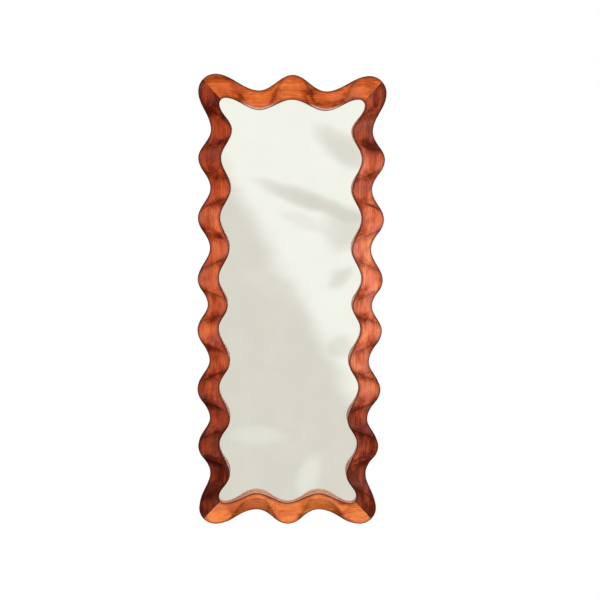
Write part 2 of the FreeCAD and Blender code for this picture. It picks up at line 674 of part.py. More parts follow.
def screw(name, key, countersunk, seat):
    """A wood screw along its own z: the head's seat, or a flush head's top, at z = 0."""
    body = doc.addObject("PartDesign::Body", name)
    body.Label = name
    sketch = new_sketch(body, name + "_half", "XZ_Plane")
    r, head, long = "Dims.%s_screw_r" % key, "Dims.%s_head_r" % key, "Dims.%s_screw_length" % key
    if countersunk:
        outline = (("0", "0"), (head, "0"), (r, "-Dims.brace_thick"), (r, "-%s + 2.5" % long), ("0", "-" + long))
        top = "0"
    else:
        high = "Dims.%s_head_high" % key
        outline = (("0", high), ("0.62*" + head, high), (head, "0.45*" + high), (head, "0"),
                   (r, "0"), (r, "-%s + 2.5" % long), ("0", "-" + long))
        top = high
    polygon(sketch, outline)
    turned = body.newObject("PartDesign::Revolution", name + "_turned")
    turned.Profile = sketch
    turned.ReferenceAxis = (sketch, ["V_Axis"])
    turned.Angle = 360
    doc.recompute()
    # cross recess
    cross = new_sketch(body, name + "_cross", "XY_Plane", top, number(top))
    a, b = "0.55*" + head, "0.14*" + head
    polygon(cross, (("-" + b, "-" + a), (b, "-" + a), (b, "-" + b), (a, "-" + b), (a, b), (b, b),
                    (b, a), ("-" + b, a), ("-" + b, b), ("-" + a, b), ("-" + a, "-" + b), ("-" + b, "-" + b)))
    pocket(body, name + "_recess", cross, seat)
    return body


brace_screw = screw("brace_screw", "brace", True, "1.1")
clip_screw = screw("clip_screw", "clip", False, "1")
hanger_screw = screw("hanger_screw", "hanger", False, "1.2")
bumper_screw = screw("bumper_screw", "bumper", False, "1")

dowel = doc.addObject("PartDesign::Body", "dowel")
sketch = new_sketch(dowel, "dowel_half", "XZ_Plane")
polygon(sketch, (("0", "-0.5*Dims.dowel_length"), ("Dims.dowel_r - 0.8", "-0.5*Dims.dowel_length"),
                 ("Dims.dowel_r", "-0.5*Dims.dowel_length + 0.8"), ("Dims.dowel_r", "0.5*Dims.dowel_length - 0.8"),
                 ("Dims.dowel_r - 0.8", "0.5*Dims.dowel_length"), ("0", "0.5*Dims.dowel_length")))
turned = dowel.newObject("PartDesign::Revolution", "dowel_turned")
turned.Profile = sketch
turned.ReferenceAxis = (sketch, ["V_Axis"])
turned.Angle = 360
doc.recompute()


def copies(label, source, seats):
    """Several equal pieces as one group of separate solids. A seat is (x, y, z, rotation), the
    places being expressions."""
    links = []
    for i, (x, y, z, turn) in enumerate(seats):
        link = doc.addObject("App::Link", "%s_%02d" % (label, i))
        link.LinkedObject = source
        link.Placement = Placement(Vector(number(x), number(y), number(z)), turn)
        for letter, text in (("x", x), ("y", y), ("z", z)):
            if "Dims." in text:
                link.setExpression("Placement.Base." + letter, text)
        links.append(link)
    group = doc.addObject("Part::Compound", label)
    group.Label = label
    group.Links = links
    doc.recompute()
    return group


facing_wall = Rotation(Vector(1, 0, 0), -90)        # a screw's head looks at the wall, +Y

for side, sign_z in (("top", 1), ("bottom", -1)):
    for hand, sign_x in (("left", -1), ("right", 1)):
        seats = []
        for place in ("dowel_first", "dowel_second"):
            middle, along = dowel_seat(side, place)
            across = Vector(along.z * sign_x, 0, -along.x * sign_z)
            seats.append(("%.6f" % (middle.x * sign_x), "%.6f" % middle.y, "%.6f" % (middle.z * sign_z),
                          Rotation(Vector(0, 0, 1), across)))
        copies("dowels_%s_%s" % (side, hand), dowel, seats)


# ---------------------------------------------------------------- corner braces

brace = doc.addObject("PartDesign::Body", "corner_brace")
sketch = new_sketch(brace, "brace_outline", "XZ_Plane", BACK, D["stand_off"])
bx, bz, bw, ba = "Dims.brace_x", "Dims.brace_z", "Dims.brace_width", "Dims.brace_arm"
polygon(sketch, ((bx, bz), (bx + " - " + ba, bz), (bx + " - " + ba, bz + " - " + bw),
                 (bx + " - " + bw, bz + " - " + bw), (bx + " - " + bw, bz + " - " + ba),
                 (bx, bz + " - " + ba)))
plate = pad(brace, "brace_plate", sketch, "Dims.brace_thick", True)
doc.recompute()
for prop in ("corner",):
    tall = ["Edge%d" % (i + 1) for i, e in enumerate(plate.Shape.Edges)
            if len(e.Vertexes) == 2 and abs(e.Vertexes[0].X - e.Vertexes[1].X) < 1e-6
            and abs(e.Vertexes[0].Z - e.Vertexes[1].Z) < 1e-6
            and abs(e.Vertexes[0].X - (D["brace_x"] - D["brace_width"])) > 1e-3]
    rounding = brace.newObject("PartDesign::Fillet", "brace_rounding")
    rounding.Base = (plate, tall)
    rounding.Radius = 3.0
doc.recompute()
outer_face = "Dims.stand_off - Dims.brace_thick"
sketch = new_sketch(brace, "brace_holes", "XZ_Plane", outer_face, D["stand_off"] - D["brace_thick"])
for hole in ("a", "b"):
    circle(sketch, bx + " - 0.5*" + bw, bz + " - Dims.brace_hole_" + hole, "Dims.brace_head_r", "s" + hole)
    circle(sketch, bx + " - Dims.brace_hole_" + hole, bz + " - 0.5*" + bw, "Dims.brace_head_r", "r" + hole)
doc.recompute()
before = brace.Shape.Volume
sunk = brace.newObject("PartDesign::Pocket", "brace_countersinks")
sunk.Profile = sketch
sunk.Length = D["brace_thick"]
sunk.Reversed = True
sunk.setExpression("Length", "Dims.brace_thick")
# the cone narrows from the head's rim to the shank over the plate's thickness
lean = math.degrees(math.atan2(D["brace_head_r"] - D["brace_screw_r"], D["brace_thick"]))
sunk.TaperAngle = -lean
doc.recompute()
print("corner_brace   countersinks take off %.1f mm3" % (before - brace.Shape.Volume))
if not brace.Shape.Volume < before - 100:
    raise RuntimeError("the countersinks take nothing off")


def quarter(label, mirror_x, mirror_z, source):
    """The same piece in another quarter of the mirror."""
    shape = source
    for name, wanted, normal in (("x", mirror_x, Vector(1, 0, 0)), ("z", mirror_z, Vector(0, 0, 1))):
        if wanted:
            flip = doc.addObject("Part::Mirroring", "%s_%s" % (label, name))
            flip.Source = shape
            flip.Normal = normal
            shape = flip
    if shape is source:
        shape = doc.addObject("Part::Compound", label)
        shape.Links = [source]
    shape.Label = label
    doc.recompute()
    return shape


quarter("brace_top_right", False, False, brace)
quarter("brace_top_left", True, False, brace)
quarter("brace_bottom_right", False, True, brace)
quarter("brace_bottom_left", True, True, brace)

seats = []
for sx in ("", "-"):
    for sz in ("", "-"):
        for hole in ("a", "b"):
            for a, b in ((bx + " - 0.5*" + bw, bz + " - Dims.brace_hole_" + hole),
                         (bx + " - Dims.brace_hole_" + hole, bz + " - 0.5*" + bw)):
                seats.append((minus(a) if sx else a, "-Dims.stand_off + Dims.brace_thick",
                              minus(b) if sz else b, facing_wall))
copies("brace_screws", brace_screw, seats)


# ---------------------------------------------------------------- retaining clips

clip = doc.addObject("PartDesign::Body", "clip")
sketch = new_sketch(clip, "clip_outline", "XZ_Plane")
rectangle(sketch, "-Dims.clip_lap", "Dims.clip_long - Dims.clip_lap", "-0.5*Dims.clip_wide", "0.5*Dims.clip_wide")
plate = pad(clip, "clip_plate", sketch, "Dims.clip_thick", True)
doc.recompute()
tall = ["Edge%d" % (i + 1) for i, e in enumerate(plate.Shape.Edges)
        if abs(e.Vertexes[0].X - e.Vertexes[1].X) < 1e-6 and abs(e.Vertexes[0].Z - e.Vertexes[1].Z) < 1e-6]
rounding = clip.newObject("PartDesign::Fillet", "clip_rounding")
rounding.Base = (plate, tall)
rounding.Radius = 2.5
doc.recompute()
sketch = new_sketch(clip, "clip_hole", "XZ_Plane", "-1*Dims.clip_thick", -D["clip_thick"])
circle(sketch, "Dims.clip_hole", "0", "Dims.clip_screw_r", "ch")
pocket(clip, "clip_bore", sketch, "Dims.clip_thick", True)
print("clip y", clip.Shape.BoundBox.YMin, clip.Shape.BoundBox.YMax)

seats, screws = [], []
turns = {"right": Rotation(), "left": Rotation(Vector(0, 1, 0), 180),
         "top": Rotation(Vector(0, 1, 0), -90), "bottom": Rotation(Vector(0, 1, 0), 90)}
for letter in "abcdefg":
    for hand, sign in (("right", ""), ("left", "-")):
        x = sign + "Dims.rebate_x"
        seats.append((x, "-Dims.stand_off", "Dims.clip_" + letter, turns[hand]))
        screws.append((x + (" + " if not sign else " - ") + "Dims.clip_hole",
                       "-Dims.stand_off + Dims.clip_thick", "Dims.clip_" + letter, facing_wall))
for side, sign in (("top", ""), ("bottom", "-")):
    for place in ("Dims.clip_rail_x", "0", "-Dims.clip_rail_x"):
        z = sign + "Dims.rebate_z"
        seats.append((place, "-Dims.stand_off", z, turns[side]))
        screws.append((place, "-Dims.stand_off + Dims.clip_thick",
                       z + (" + " if not sign else " - ") + "Dims.clip_hole", facing_wall))
copies("retaining_clips", clip, seats)
copies("clip_screws", clip_screw, screws)


# ---------------------------------------------------------------- hangers

AXIS_Y = "-Dims.stand_off + Dims.loop_r"            # the ring's axis in front of the wall

strap = doc.addObject("PartDesign::Body", "hanger_strap_right")
strap.Label = "hanger_strap_right"
sketch = new_sketch(strap, "loop_outline", "YZ_Plane", "Dims.hanger_x - 0.5*Dims.strap_width",
                    D["hanger_x"] - D["strap_width"] / 2)
circle(sketch, AXIS_Y, "Dims.hanger_z", "Dims.loop_r", "lo")
pad(strap, "loop", sketch, "Dims.strap_width")
sketch = new_sketch(strap, "plate_outline", "YZ_Plane", "Dims.hanger_x - 0.5*Dims.strap_width",
                    D["hanger_x"] - D["strap_width"] / 2)
rectangle(sketch, "-Dims.stand_off", "-Dims.stand_off + Dims.strap_thick",
          "Dims.hanger_z - Dims.strap_drop", "Dims.hanger_z")
pad(strap, "plate", sketch, "Dims.strap_width")
doc.recompute()
sketch = new_sketch(strap, "bore_outline", "YZ_Plane", "Dims.hanger_x + 0.5*Dims.strap_width + 1",
                    D["hanger_x"] + D["strap_width"] / 2 + 1)
circle(sketch, AXIS_Y, "Dims.hanger_z", "Dims.loop_bore_r", "bo")
pocket(strap, "bore", sketch, "Dims.strap_width + 2")
sketch = new_sketch(strap, "strap_holes", "XZ_Plane", "Dims.stand_off - Dims.strap_thick",
                    D["stand_off"] - D["strap_thick"])
for hole in ("a", "b"):
    circle(sketch, "Dims.hanger_x", "Dims.hanger_z - Dims.strap_hole_" + hole, "Dims.hanger_screw_r", "h" + hole)
pocket(strap, "screw_holes", sketch, "Dims.strap_thick", True)
flip = doc.addObject("Part::Mirroring", "hanger_strap_left")
flip.Label = "hanger_strap_left"
flip.Source = strap
flip.Normal = Vector(1, 0, 0)

# the ring: a wire bent to a D, its bar in the strap's loop
ring = doc.addObject("PartDesign::Body", "d_ring")
spine = new_sketch(ring, "ring_spine", "XZ_Plane")
w, b, t = D["ring_half"], D["ring_bend"], D["ring_side"]


def bend(cx, cy, radius, start, stop):
    return Part.ArcOfCircle(Part.Circle(Vector(cx, cy, 0), Vector(0, 0, 1), radius),
                            math.radians(start), math.radians(stop))


spine.addGeometry([
    Part.LineSegment(Vector(b - w, 0, 0), Vector(w - b, 0, 0)), bend(w - b, b, b, -90, 0),
    Part.LineSegment(Vector(w, b, 0), Vector(w, t, 0)), bend(0, t, w, 0, 180),
    Part.LineSegment(Vector(-w, t, 0), Vector(-w, b, 0)), bend(b - w, b, b, 180, 270)], False)
spine.addConstraint([Sketcher.Constraint("Tangent", g, 2, (g + 1) % 6, 1) for g in range(6)])
spine.addConstraint([Sketcher.Constraint("Horizontal", 0), Sketcher.Constraint("Vertical", 2),
                     Sketcher.Constraint("Vertical", 4),
                     Sketcher.Constraint("PointOnObject", 0, 1, -1),
                     Sketcher.Constraint("PointOnObject", 3, 3, -2)])
for name, constraint, text in (
    ("bend", ("Radius", 1, b), "Dims.ring_bend"), ("bend_left", ("Radius", 5, b), "Dims.ring_bend"),
    ("half", ("Radius", 3, w), "Dims.ring_half"),
    ("side", ("DistanceY", -1, 1, 3, 3, t), "Dims.ring_side"),
):
    n = spine.addConstraint(Sketcher.Constraint(*constraint))
    spine.renameConstraint(n, name)
    spine.setExpression("Constraints." + name, text)
wire = new_sketch(ring, "ring_wire", "YZ_Plane")
circle(wire, "0", "0", "Dims.ring_r", "w")
doc.recompute()
pipe = ring.newObject("PartDesign::AdditivePipe", "ring_pipe")
pipe.Profile = wire
pipe.Spine = spine
doc.recompute()
print("d_ring         spine %.2f mm, volume %.1f, by section times length %.1f"
      % (spine.Shape.Length, ring.Shape.Volume, math.pi * D["ring_r"] ** 2 * spine.Shape.Length))
# standing, it leans on the wood: its top is tilted towards -Y
lean = Rotation(Vector(1, 0, 0), D["ring_lean"])
copies("d_ring_right", ring, [("Dims.hanger_x", AXIS_Y, "Dims.hanger_z", lean)])
copies("d_ring_left", ring, [("-Dims.hanger_x", AXIS_Y, "Dims.hanger_z", lean)])
copies("hanger_screws", hanger_screw, [
    (sign + "Dims.hanger_x", "-Dims.stand_off + Dims.strap_thick", "Dims.hanger_z - Dims.strap_hole_" + hole,
     facing_wall) for sign in ("", "-") for hole in ("a", "b")])


# ---------------------------------------------------------------- wall bumpers

bumper = doc.addObject("PartDesign::Body", "bumper")
sketch = new_sketch(bumper, "bumper_half", "XZ_Plane")
polygon(sketch, (("Dims.bumper_hole_r", "0"), ("Dims.bumper_r", "0"), ("Dims.bumper_r", "0.72*Dims.stand_off"),
                 ("Dims.bumper_r - 1.6", "Dims.stand_off"), ("Dims.bumper_sink_r", "Dims.stand_off"),
                 ("Dims.bumper_sink_r", "Dims.stand_off - Dims.bumper_sink"),
                 ("Dims.bumper_hole_r", "Dims.stand_off - Dims.bumper_sink")))
turned = bumper.newObject("PartDesign::Revolution", "bumper_turned")
turned.Profile = sketch
turned.ReferenceAxis = (sketch, ["V_Axis"])
turned.Angle = 360
doc.recompute()
seats = []
for side, sz in (("top", ""), ("bottom", "-")):
    for hand, sx in (("left", "-"), ("right", "")):
        copies("bumper_%s_%s" % (side, hand), bumper,
               [(sx + "Dims.bumper_x", "-Dims.stand_off", sz + "Dims.bumper_z", facing_wall)])
        seats.append((sx + "Dims.bumper_x", "-Dims.bumper_sink", sz + "Dims.bumper_z", facing_wall))
copies("bumper_screws", bumper_screw, seats)


# ---------------------------------------------------------------- checks and files

NODES = {
    "left_stile": 1, "right_stile": 1, "top_rail": 1, "bottom_rail": 1,
    "dowels_top_left": 2, "dowels_top_right": 2, "dowels_bottom_left": 2, "dowels_bottom_right": 2,
    "mirror_pane": 1, "safety_film": 1, "backing_board": 1, "setting_blocks": 2,
    "tape_left": 1, "tape_right": 1, "tape_top": 1, "tape_bottom": 1,
    "brace_top_left": 1, "brace_top_right": 1, "brace_bottom_left": 1, "brace_bottom_right": 1,
    "brace_screws": 16, "retaining_clips": 20, "clip_screws": 20,
    "hanger_strap_left": 1, "hanger_strap_right": 1, "d_ring_left": 1, "d_ring_right": 1,
    "hanger_screws": 4,
    "bumper_top_left": 1, "bumper_top_right": 1, "bumper_bottom_left": 1, "bumper_bottom_right": 1,
    "bumper_screws": 4,
}

doc.recompute()
failed = [o.Name for o in doc.Objects if "Invalid" in o.State or "Error" in o.State]
if failed:
    raise RuntimeError("failed objects: %s" % failed)
by_label = {}
for o in doc.Objects:
    by_label.setdefault(o.Label, o)
for node, count in NODES.items():
    shape = by_label[node].Shape
    if shape.isNull() or not shape.isValid() or len(shape.Solids) != count:
        raise RuntimeError("%s: null, invalid or %d solids" % (node, len(shape.Solids)))

os.makedirs("parts", exist_ok=True)
for name in os.listdir("parts"):
    if name.endswith(".step") and name[:-5] not in NODES:
        os.remove(os.path.join("parts", name))
whole = FreeCAD.BoundBox()
for node, count in NODES.items():
    shape = by_label[node].Shape
    shape.exportStep("parts/%s.step" % node)
    box = shape.optimalBoundingBox() if hasattr(shape, "optimalBoundingBox") else shape.BoundBox
    whole.add(box)
    print("%-20s %2d  %11.1f mm3  x %8.2f %8.2f  y %7.2f %7.2f  z %8.2f %8.2f"
          % (node, count, shape.Volume, box.XMin, box.XMax, box.YMin, box.YMax, box.ZMin, box.ZMax))
print("%d nodes, whole box %.2f x %.2f x %.2f mm" % (len(NODES), whole.XLength, whole.YLength, whole.ZLength))
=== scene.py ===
import math

import bpy
import numpy as np
from mathutils import Matrix, Vector


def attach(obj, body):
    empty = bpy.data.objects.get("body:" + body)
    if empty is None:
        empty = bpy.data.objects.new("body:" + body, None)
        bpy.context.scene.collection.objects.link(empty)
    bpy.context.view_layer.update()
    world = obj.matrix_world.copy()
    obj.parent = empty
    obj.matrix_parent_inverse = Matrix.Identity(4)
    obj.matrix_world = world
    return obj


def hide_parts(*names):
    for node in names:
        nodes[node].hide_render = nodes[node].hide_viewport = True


# Full-length wall mirror in a carved, wavy wooden frame. Metres, in the row frame: +Z up, the
# glass looks along -Y, the wall is the plane y = 0. The carved wood is worked out in millimetres.

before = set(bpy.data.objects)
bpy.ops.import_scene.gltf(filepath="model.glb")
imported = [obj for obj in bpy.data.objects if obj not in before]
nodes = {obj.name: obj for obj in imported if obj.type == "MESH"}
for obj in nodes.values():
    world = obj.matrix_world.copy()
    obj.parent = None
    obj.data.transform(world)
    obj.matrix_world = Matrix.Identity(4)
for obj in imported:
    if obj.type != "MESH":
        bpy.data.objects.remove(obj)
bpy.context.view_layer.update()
scene = bpy.context.scene

# ---------------------------------------------------------------- carved wood: shape

W, H = 361.0, 900.0
CORNER, MOUTH = 66.0, 23.0
MOUTH_X = 281.5
MOUTH_Z = {"top": 811.0, "bottom": 818.0}
BACK, FRONT, SHELF = -7.0, -53.0, -17.2
DEEP = 22.0
INSET = 3.0
REBATE_X, REBATE_Z = 293.0, 830.5
RIDGE_FROM, RIDGE_TO = 0.28, 0.75
REACH = {"stile": 78.0, "top": 90.0, "bottom": 89.0}
SHARE = {"stile": 0.90, "top": 0.86, "bottom": 0.77}
OUT_X, OUT_Z = 342.9, 879.4
IN = MOUTH * (1 - math.sqrt(0.5))
CZ, CX = H - CORNER, W - CORNER
WAVES = {
    "stile": (
        (CZ, W, MOUTH_X),
        (689.5, 313.8, 232.8), (581.0, 361.3, 274.5), (465.5, 316.1, 236.1), (349.0, 363.4, 277.8),
        (231.0, 317.7, 240.3), (109.0, 364.8, 282.8), (4.0, 326.5, 246.7), (-93.5, 366.4, 282.8),
        (-223.0, 319.8, 237.8), (-334.5, 366.8, 280.5), (-460.0, 318.5, 236.9),
        (-570.5, 364.2, 279.4), (-690.0, 317.2, 236.4), (-CZ, W, MOUTH_X),
    ),
    "top": ((CX, H, 811.0), (129.0, 840.5, 766.5), (0.0, H, 807.0), (-129.0, 840.5, 766.5), (-CX, H, 811.0)),
    "bottom": ((CX, H, 818.0), (126.5, 845.0, 771.0), (0.0, H, 817.0), (-126.5, 845.0, 771.0), (-CX, H, 818.0)),
}


def swing(u):
    t = min(max((u - RIDGE_FROM) / (RIDGE_TO - RIDGE_FROM), 0.0), 1.0)
    return t * t * (3 - 2 * t)


def band(member, along):
    """Outer edge, ridge and inner edge of a member at one place along it."""
    if member == "stile":
        corner, side, mitre_sign = CZ, MOUTH_X, W
        turn_end = MOUTH_Z["top"] if along > 0 else MOUTH_Z["bottom"]
    else:
        corner, side, mitre_sign = CX, MOUTH_Z[member], H
        turn_end = MOUTH_X
    mitre, turn = turn_end - IN, turn_end - MOUTH
    centre = mitre_sign - CORNER
    if abs(along) > corner:
        past = abs(along) - corner
        outer = centre + math.sqrt(max(CORNER**2 - past**2, 0.0))
        ridge = centre + math.sqrt(max((CORNER - INSET) ** 2 - past**2, 0.0))
        inner = side
    else:
        rows = WAVES[member]
        for first, second in zip(rows[:-1], rows[1:]):
            if first[0] >= along >= second[0]:
                break
        bulge, waist = (first, second) if first[1] > second[1] else (second, first)
        share = abs(along - bulge[0]) / abs(waist[0] - bulge[0])
        outer = bulge[1] + (waist[1] - bulge[1]) * (1 - math.cos(math.pi * share)) / 2
        s = share
        if abs(bulge[0]) >= corner:
            s = 0.0 if abs(along) > turn else min((turn - abs(along)) / (turn - abs(waist[0])), 1.0)
        inner = bulge[2] + (waist[2] - bulge[2]) * (1 - math.cos(math.pi * s)) / 2
        start = outer - INSET
        ridge = start - SHARE[member] * swing(share) * (start - inner)
    if abs(along) > turn:
        past = min(abs(along), mitre) - turn
        inner = side - MOUTH + math.sqrt(MOUTH**2 - past**2)
    return outer, ridge, inner


class Edges:
    """The member's three edge lines as dense tables, read by interpolation."""

    def __init__(self, member, end):
        self.at = np.arange(-end, end + 0.25, 0.25)
        rows = np.array([band(member, a) for a in self.at])
        self.outer, self.ridge, self.inner = (
            lambda v, k=k: np.interp(v, self.at, rows[:, k]) for k in range(3))
        # 1 where the ridge crosses the band, 0 at the bulges, the waists and the corners
        at = np.array([row[0] for row in WAVES[member]][::-1])
        steps = np.interp(self.at, at, np.arange(len(at)))
        cross = np.sin(np.pi * (steps % 1.0)) ** 2
        cross[np.abs(self.at) > at[-1]] = 0.0
        self.bend = lambda v: np.interp(v, self.at, cross)


def scoop(member, distance):
    """Depth below the ridge at a distance from it."""
    reach = REACH[member]
    radius = (reach**2 + DEEP**2) / (2 * DEEP)
    d = np.sqrt(distance**2 + CREST**2) - CREST
    return DEEP - radius + np.sqrt(np.maximum(radius**2 - (reach - d) ** 2, 0.0))


CREST = 1.6          # softness of the ridge
EDGE_OUT, EDGE_IN, EDGE_BACK = 3.2, 2.6, 1.0
FULL_X, FULL_Z = 366.65, 899.98
EDGE = {"stile": Edges("stile", CZ + 52), "top": Edges("top", CX + 54), "bottom": Edges("bottom", CX + 54)}


def spaced(count):
    """0..1, closer together at both ends."""
    return 0.5 * (1 - np.cos(np.pi * np.arange(count + 1) / count))


def mitre_depth(side, q):
    """Depth on a mitre line, the mean of what its two members have there. q is 0 at the mouth."""
    z_in = MOUTH_Z[side] - IN
    x = MOUTH_X - IN + q * (OUT_X - MOUTH_X + IN)
    z = z_in + q * (OUT_Z - z_in)
    stile = scoop("stile", EDGE["stile"].ridge(z if side == "top" else -z) - x)
    rail = scoop(side, EDGE[side].ridge(x) - z)
    return stile, rail, (stile + rail) / 2


def member_mesh(name, member, place, step=3.0):
    """One carved member as a closed mesh. place turns (across, y, along) into x, y, z."""
    edge = EDGE[member]
    if member == "stile":
        ends = (("top", OUT_Z, MOUTH_Z["top"] - IN), ("bottom", -OUT_Z, -MOUTH_Z["bottom"] + IN))
        across_out, across_in, rebate = OUT_X, MOUTH_X - IN, REBATE_X
        zone = 740.0
    else:
        ends = ((member, OUT_X, MOUTH_X - IN), (member, -OUT_X, -MOUTH_X + IN))
        across_out, across_in, rebate = OUT_Z, MOUTH_Z[member] - IN, REBATE_Z
        zone = 215.0
    flat = np.linspace(zone, -zone, int(2 * zone / step) + 1)
    tail = np.linspace(1.0, 0.0, 46)[:-1]
    rows = [(0, k, None) for k in tail] + [(None, None, z) for z in flat] + [(1, k, None) for k in tail[::-1]]
    n_out, n_in = 22, 24
    points, facts = [], []
    for end, k, z in rows:
        if z is None:
            out_end, in_end = ends[end][1], ends[end][2]
            start = math.copysign(zone, out_end)
            z_o, z_i = start + k * (out_end - start), start + k * (in_end - start)
            # the last rows close on the mitre line
            x_o, x_i = float(edge.outer(z_o)), float(edge.inner(z_i))
        else:
            z_o = z_i = z
            x_o, x_i = float(edge.outer(z)), float(edge.inner(z))
        q = 0.9
        for _ in range(40):
            q = (float(edge.ridge(z_i + q * (z_o - z_i))) - x_i) / (x_o - x_i)
        a = spaced(n_out)
        b = spaced(n_in)
        qs = np.concatenate([1 - a * (1 - q), (q - b * q)[1:]])
        x = x_i + qs * (x_o - x_i)
        along = z_i + qs * (z_o - z_i)
        off = edge.ridge(along) - x
        depth = scoop(member, off)
        if z is None:
            side = ends[end][0]
            stile, rail, mean = mitre_depth(side, qs)
            mine = stile if member == "stile" else rail
            line = in_end + qs * (out_end - in_end)
            away = np.clip(np.abs(line - along) / 75.0, 0, 1)
            depth = depth + (1 - away * away * (3 - 2 * away)) * (mean - mine)
        y = FRONT + depth
        # rounded arrises, measured square to the edge line
        slope_o = (edge.outer(along + 0.5) - edge.outer(along - 0.5))
        slope_i = (edge.inner(along + 0.5) - edge.inner(along - 0.5))
        e_o = (edge.outer(along) - x) / np.sqrt(1 + slope_o**2)
        e_i = (x - edge.inner(along)) / np.sqrt(1 + np.minimum(slope_i**2, 1.2))
        for e, r in ((np.maximum(e_o, 0), EDGE_OUT), (np.maximum(e_i, 0), EDGE_IN)):
            t = np.clip((r - e) / r, 0, 1)
            y = y + r * (1 - np.sqrt(1 - t * t))
        loop = list(zip(x, y, along))
        mark = list(zip(np.minimum(e_o, e_i), np.abs(off), qs, edge.bend(along)))
        # walls, rebate and back
        q_r = min(max((rebate - x_i) / (x_o - x_i), 0.0), 1.0)
        z_r = z_i + q_r * (z_o - z_i)
        for t in (0.34, 0.67, 1.0):
            loop.append((x_i, y[-1] + (SHELF - y[-1]) * t, z_i))
            mark.append((20, 20, 0.0, 0))
        loop.append((x_i + q_r * (x_o - x_i), SHELF, z_r))
        loop.append((x_i + q_r * (x_o - x_i), BACK, z_r))
        mark += [(20, 20, q_r, 0)] * 2
        for t in (0.5, 1.0):
            qb = q_r + (1 - EDGE_BACK / (x_o - x_i) - q_r) * t
            loop.append((x_i + qb * (x_o - x_i), BACK, z_i + qb * (z_o - z_i)))
            mark.append((20 * (1 - t), 20, qb, 0))
        loop.append((x_o, BACK - EDGE_BACK, z_o))
        mark.append((0, 20, 1.0, 0))
        low = BACK - EDGE_BACK
        for t in (0.33, 0.67):
            loop.append((x_o, low + (y[0] - low) * t, z_o))
            mark.append((4, 20, 1.0, 0))
        points.append(loop)
        facts.append(mark)
    count, size = len(points), len(points[0])
    # the fullest bulges end on the overall box
    flat_points = [(min(max(x, -FULL_X), FULL_X), y, min(max(z, -FULL_Z), FULL_Z))
                   for x, y, z in (place(*p) for loop in points for p in loop)]
    faces = []
    for i in range(count - 1):
        for j in range(size):
            k = (j + 1) % size
            faces.append((i * size + j, i * size + k, (i + 1) * size + k, (i + 1) * size + j))
    faces.append(tuple(reversed(range(size))))
    faces.append(tuple((count - 1) * size + j for j in range(size)))
    mesh = bpy.data.meshes.new(name)
    mesh.from_pydata([(x / 1000, y / 1000, z / 1000) for x, y, z in flat_points], [], faces)
    mesh.update()
    # all faces look outwards
    volume = 0.0
    co = np.array([v.co for v in mesh.vertices])
    mesh.calc_loop_triangles()
    tri = np.array([t.vertices for t in mesh.loop_triangles])
    volume = float(np.einsum("ij,ij->i", co[tri[:, 0]], np.cross(co[tri[:, 1]], co[tri[:, 2]])).sum())
    if volume < 0:
        mesh.flip_normals()
    flat_facts = np.array([m for loop in facts for m in loop], np.float32)
    for n, word in enumerate(("rim", "crest", "across", "bend")):
        attribute = mesh.attributes.new(word, "FLOAT", "POINT")
        attribute.data.foreach_set("value", np.ascontiguousarray(flat_facts[:, n]))
    mesh.polygons.foreach_set("use_smooth", [True] * len(mesh.polygons))
    mesh.set_sharp_from_angle(angle=math.radians(42))
    piece = bpy.data.objects.new(name, mesh)
    scene.collection.objects.link(piece)
    return piece


left = member_mesh("wood_left_stile", "stile", lambda a, y, s: (-a, y, s))
right = member_mesh("wood_right_stile", "stile", lambda a, y, s: (a, y, s))
top = member_mesh("wood_top_rail", "top", lambda a, y, s: (s, y, a))
bottom = member_mesh("wood_bottom_rail", "bottom", lambda a, y, s: (s, y, -a))
for piece, node in ((left, "left_stile"), (right, "right_stile"), (top, "top_rail"), (bottom, "bottom_rail")):
    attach(piece, "mirror")
    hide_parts(node)

# ---------------------------------------------------------------- finishes


